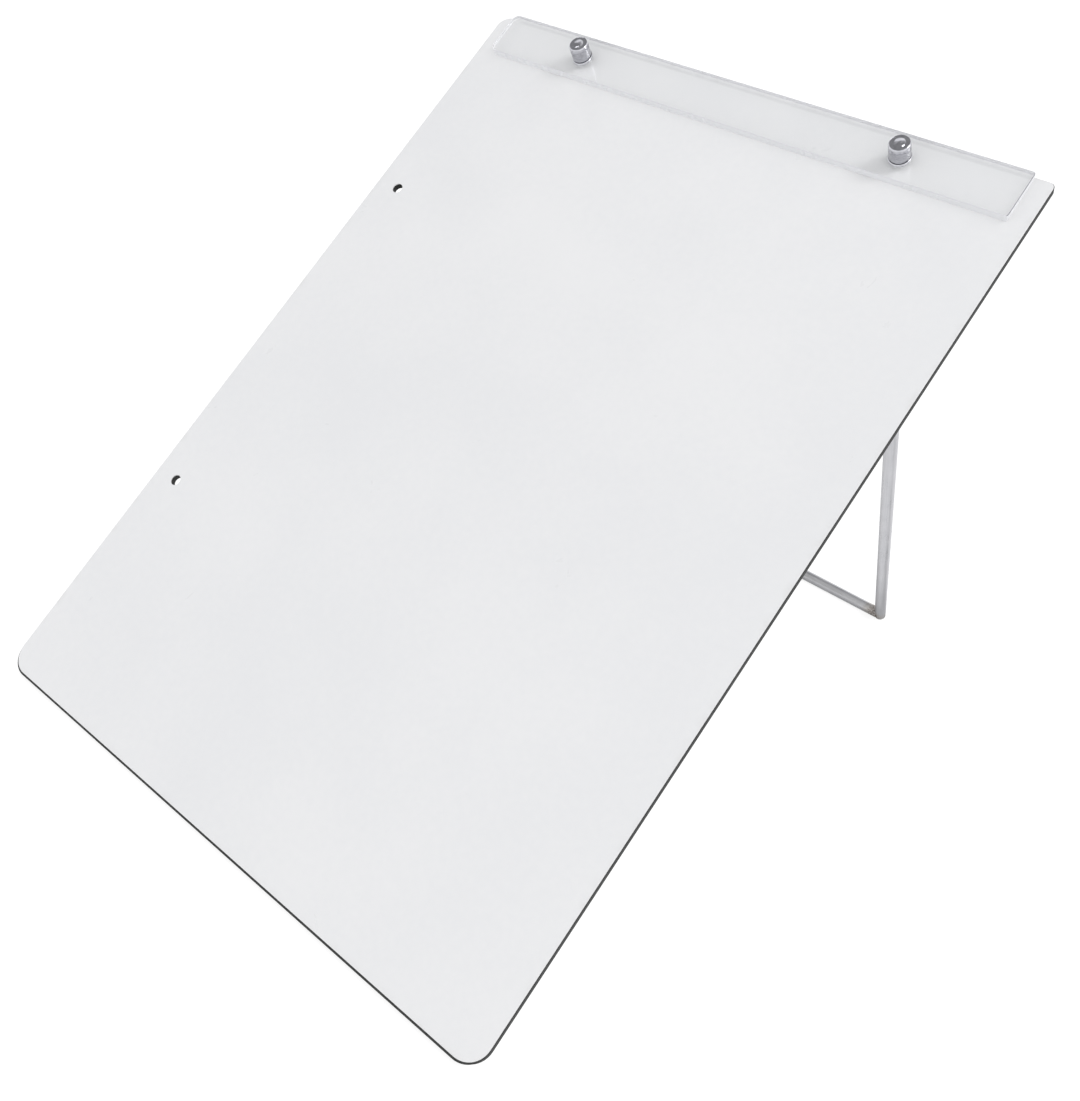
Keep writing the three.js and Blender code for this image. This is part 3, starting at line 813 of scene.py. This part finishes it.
# ---------------------------------------------------------------------------------
# Hinge plates, straps and rivets
# ---------------------------------------------------------------------------------
plate_top = -BOARD_T - 0.05
plate_bot = plate_top - PLATE_T
strap_top = plate_bot - 0.05
strap_bot = strap_top - STRAP_T
for s, side in ((-1, "left"), (1, "right")):
    xs = sorted((s * PLATE_X[0], s * PLATE_X[1]))
    mine = [(x, y) for x, y, t, _ in rivet_at if t == s]
    bm = bmesh.new()
    slab(bm, [rect_loop(xs[0], PIVOT_Y - PLATE_HY, xs[1], PIVOT_Y + PLATE_HY, (2,) * 4, 12),
              *[hole_loop(x, y, 1.6, 32) for x, y in mine]],
         edge_profile(plate_bot, plate_top, 0.22, 0.10, 4))
    finish_mesh(bm, f"stamped_plate_{side}", [PLATE], "board", [f"hinge_plate_{side}"])

    xs = sorted((s * STRAP_X[0], s * STRAP_X[1]))
    ri, ro = ROD_R + 0.08, ROD_R + 0.08 + STRAP_T
    cz = PIVOT_Z

    def arc(r, a, b, n=28):
        return [(PIVOT_Y + r * math.cos(math.radians(a + (b - a) * k / n)), cz + r * math.sin(math.radians(a + (b - a) * k / n))) for k in range(n + 1)]

    outer_arc, inner_arc = arc(ro, 186, 354), arc(ri, 360, 180)
    pts, rad = [], []
    for q, r in (((PIVOT_Y - STRAP_HY, strap_top), 0.15), ((PIVOT_Y - STRAP_HY, strap_bot), 0.3), ((PIVOT_Y - ro - 0.55, strap_bot), 0.5)):
        pts.append(q)
        rad.append(r)
    for q in outer_arc:
        pts.append(q)
        rad.append(0)
    for q, r in (((PIVOT_Y + ro + 0.55, strap_bot), 0.5), ((PIVOT_Y + STRAP_HY, strap_bot), 0.3), ((PIVOT_Y + STRAP_HY, strap_top), 0.15), ((PIVOT_Y + ri, strap_top), 0.0)):
        pts.append(q)
        rad.append(r)
    for q in inner_arc:
        pts.append(q)
        rad.append(0)
    pts.append((PIVOT_Y - ri, strap_top))
    rad.append(0)
    poly = []
    for q in rounded(pts, rad, 5, closed=True):
        if not poly or (Vector(q) - Vector(poly[-1])).length > 0.02:
            poly.append(q)
    bm = bmesh.new()
    along_x(bm, poly, xs[0], xs[1], 0.16, 3)
    finish_mesh(bm, f"bent_strap_{side}", [PLATE], "board", [f"hinge_strap_{side}"], angle=40)

    for x, y in mine:
        end = "lower" if y < PIVOT_Y else "upper"
        h, t = strap_bot - 0.05, -FACE_T - 0.1
        bm = bmesh.new()
        half, rise = 2.75, 1.3
        big = (half * half + rise * rise) / (2 * rise)
        dome = []
        for k in range(11):
            r = half * k / 10
            dome.append((r, h - (math.sqrt(big * big - r * r) - (big - rise))))
        dome[0] = (0, h - rise)
        prof = dome[:-1] + rounded([dome[-2], (half, h), (1.5, h)], 0.14, 3)[1:-1] + [(1.5, h), (1.5, t - 1.5), (2.7, t - 0.15), (2.7, t), (0, t)]
        lathe(bm, prof, x, y, 48)
        finish_mesh(bm, f"dome_rivet_{side}_{end}", [RIVET], "board", [f"strap_rivet_{side}_{end}"], angle=40)

# ---------------------------------------------------------------------------------
# Stand: four rods, weld beads and two stop tabs
# ---------------------------------------------------------------------------------
def on_leg(x, along, across=0.0):
    """A point along the leg's direction from the pivot axis, and across it."""
    dy, dz = LEG_DIR
    return (x, PIVOT_Y + dy * along - dz * across, PIVOT_Z + dz * along + dy * across)


for s, side in ((-1, "left"), (1, "right")):
    bm = bmesh.new()
    rod(bm, on_leg(s * LEG_X, -LEG_TOP), on_leg(s * LEG_X, LEG + LEG_END), ROD_R, 56, 0.3)
    finish_mesh(bm, f"leg_rod_{side}", [ROD_LEG], "stand", [f"stand_leg_{side}"], angle=60, weighted=False)
for along, name, node in ((0.0, "pivot_rod", "stand_pivot_bar"), (LEG, "foot_rod", "stand_foot_bar")):
    bm = bmesh.new()
    half = LEG_X - 1.2
    rod(bm, on_leg(-half, along), on_leg(half, along), ROD_R, 56, 0.1)
    finish_mesh(bm, name, [ROD_X], "stand", [node], angle=60, weighted=False)


def bead(bm, s, along, toward, seed):
    """A rippled fillet of weld in the corner between a cross rod and a leg."""
    rnd = random.Random(seed)
    steps, sides = 46, 12
    rows = []
    for k in range(steps + 1):
        f = k / steps
        phi = math.radians(12 + 156 * f)
        w, u = ROD_R * math.sin(phi), ROD_R * math.cos(phi)
        inner = LEG_X - math.sqrt(max(ROD_R ** 2 - u * u, 0)) - 0.15
        ripple = 1 + 0.10 * math.sin(k * 1.55) + rnd.uniform(-0.05, 0.05)
        size = (0.22 + 1.02 * math.sin(phi) ** 1.5) * ripple
        end = min(1.0, min(k, steps - k) / 3)
        size *= 0.25 + 0.75 * math.sin(end * math.pi / 2)
        # frame of the tube: outward from the rod, and along x
        ow, ou = math.sin(phi), math.cos(phi)
        row = []
        for j in range(sides):
            a = 2 * math.pi * j / sides
            dx, dr = size * math.cos(a), size * 0.82 * math.sin(a)
            x = s * (inner + dx)
            row.append(bm.verts.new(on_leg(x, along + toward * (w + ow * dr), u + ou * dr)))
        rows.append(row)
    for a, b in zip(rows, rows[1:]):
        for j in range(sides):
            q = (j + 1) % sides
            bm.faces.new((a[j], a[q], b[q], b[j]))
    bm.faces.new(rows[0][::-1])
    bm.faces.new(rows[-1])


for s, side in ((-1, "left"), (1, "right")):
    for along, toward, where, seed in ((0.0, 1, "pivot", 3), (LEG, -1, "foot", 11)):
        bm = bmesh.new()
        bead(bm, s, along, toward, seed + s)
        finish_mesh(bm, f"weld_{where}_{side}", [WELD], "stand", (), angle=0, weighted=False)

    # flat stop tab: rolled edge against the rod
    top = plate_bot - 0.15 - PIVOT_Z
    bot = top - TAB_T
    r = ROD_R - 0.05
    a0, a1 = math.acos((top - 0.15) / r), math.acos(bot / r)
    arc_pts = [(PIVOT_Y + r * math.sin(a0 + (a1 - a0) * k / 12), PIVOT_Z + r * math.cos(a0 + (a1 - a0) * k / 12)) for k in range(13)]
    pts = [(PIVOT_Y + r * math.sin(a0), PIVOT_Z + top)] + arc_pts + [(PIVOT_Y + TAB_Y, PIVOT_Z + bot), (PIVOT_Y + TAB_Y, PIVOT_Z + top)]
    rad = [0] + [0] * 13 + [0.35, 0.35]
    poly = rounded(pts, rad, 5, closed=True)
    xs = sorted((s * TAB_X[0], s * TAB_X[1]))
    bm = bmesh.new()
    along_x(bm, poly, xs[0], xs[1], 0.2, 3)
    finish_mesh(bm, f"stop_lug_{side}", [PLATE], "stand", [f"stop_tab_{side}"], angle=40)

# ---------------------------------------------------------------------------------
# Floor, world and lights
# ---------------------------------------------------------------------------------
bm = bmesh.new()
for q in ((-6, -6, 0), (6, -6, 0), (6, 6, 0), (-6, 6, 0)):
    bm.verts.new((q[0], q[1], -0.00005))
bm.faces.new(bm.verts)
me = bpy.data.meshes.new("floor")
bm.to_mesh(me)
bm.free()
floor = bpy.data.objects.new("floor", me)
scene.collection.objects.link(floor)
fm, k, p = material("floor_paper")
v = k.new("ShaderNodeTexCoord").outputs["Object"]
k.put(p.inputs["Base Color"], k.mix(k.noise(v, 900.0, 2.0, 0.5), (0.29, 0.29, 0.29), (0.31, 0.31, 0.31)))
p.inputs["Roughness"].default_value = 0.9
p.inputs["Emission Color"].default_value = (1, 1, 1, 1)
foot = world(0, PIVOT_Y + LEG_DIR[0] * LEG, PIVOT_Z + LEG_DIR[1] * LEG)
away = k.math("ABSOLUTE", k.math("SUBTRACT", k.xyz(v)[1], foot.y))
# painted shade: the floor glows evenly for the camera, but for other rays it glows less and is darker near the foot,
# which darkens the rods' undersides
bounce = k.ramp(away, 0.003, 0.026, 0.26, 0.62)
seen_by = k.new("ShaderNodeLightPath").outputs["Is Camera Ray"]
k.put(p.inputs["Emission Strength"], k.math("ADD", k.math("MULTIPLY", seen_by, 0.80), k.math("MULTIPLY", k.math("SUBTRACT", 1.0, seen_by), bounce)))
me.materials.append(fm)

world_ = bpy.data.worlds.new("studio")
scene.world = world_
world_.use_nodes = True
nt = world_.node_tree
nt.nodes.clear()
k = Nodes(nt)
direction = k.new("ShaderNodeTexCoord").outputs["Generated"]


def lobe(d, inner, outer):
    """1 inside a cone of half-angle inner degrees round d, falling to 0 at outer."""
    n = k.new("ShaderNodeVectorMath", operation="DOT_PRODUCT")
    k.put(n.inputs[0], direction)
    n.inputs[1].default_value = tuple(Vector(d).normalized())
    return k.ramp(n.outputs["Value"], math.cos(math.radians(outer)), math.cos(math.radians(inner)))


# a dark ceiling over the object, as its polished tops show it
DARK = (-0.38, 0.26, 0.89)
level = k.math("MULTIPLY", 1.20, k.math("SUBTRACT", 1.0, k.math("MULTIPLY", lobe(DARK, 24, 52), 0.72)))
seen = k.new("ShaderNodeLightPath").outputs["Is Camera Ray"]
level = k.mix(seen, level, 1.0, "FLOAT")
bg = k.new("ShaderNodeBackground")
bg.inputs["Color"].default_value = (0.985, 0.99, 1.0, 1)
k.put(bg.inputs["Strength"], level)
out = k.new("ShaderNodeOutputWorld")
nt.links.new(bg.outputs[0], out.inputs[0])


def softbox(name, where, target, size, power, colour=(1, 1, 1)):
    light = bpy.data.lights.new(name, "AREA")
    light.shape = "RECTANGLE"
    light.size, light.size_y = size
    light.energy = power
    light.color = colour
    ob = bpy.data.objects.new(name, light)
    scene.collection.objects.link(ob)
    ob.location = where
    ob.rotation_mode = "QUATERNION"
    ob.rotation_quaternion = (Vector(target) - Vector(where)).to_track_quat("-Z", "Y")
    return ob


mid = Vector((0, 0, 0.12))
key = Vector((0.59, 0.06, 0.80)).normalized()
softbox("key", mid + key * 1.6, mid, (0.42, 0.42), 5.2, (1.0, 0.995, 0.985))
fill = Vector((-0.62, 0.44, 0.65)).normalized()
softbox("fill", mid + fill * 1.6, mid, (0.30, 0.30), 1.3, (0.985, 0.992, 1.0))

scene.view_settings.view_transform = "Standard"
scene.view_settings.look = "None"
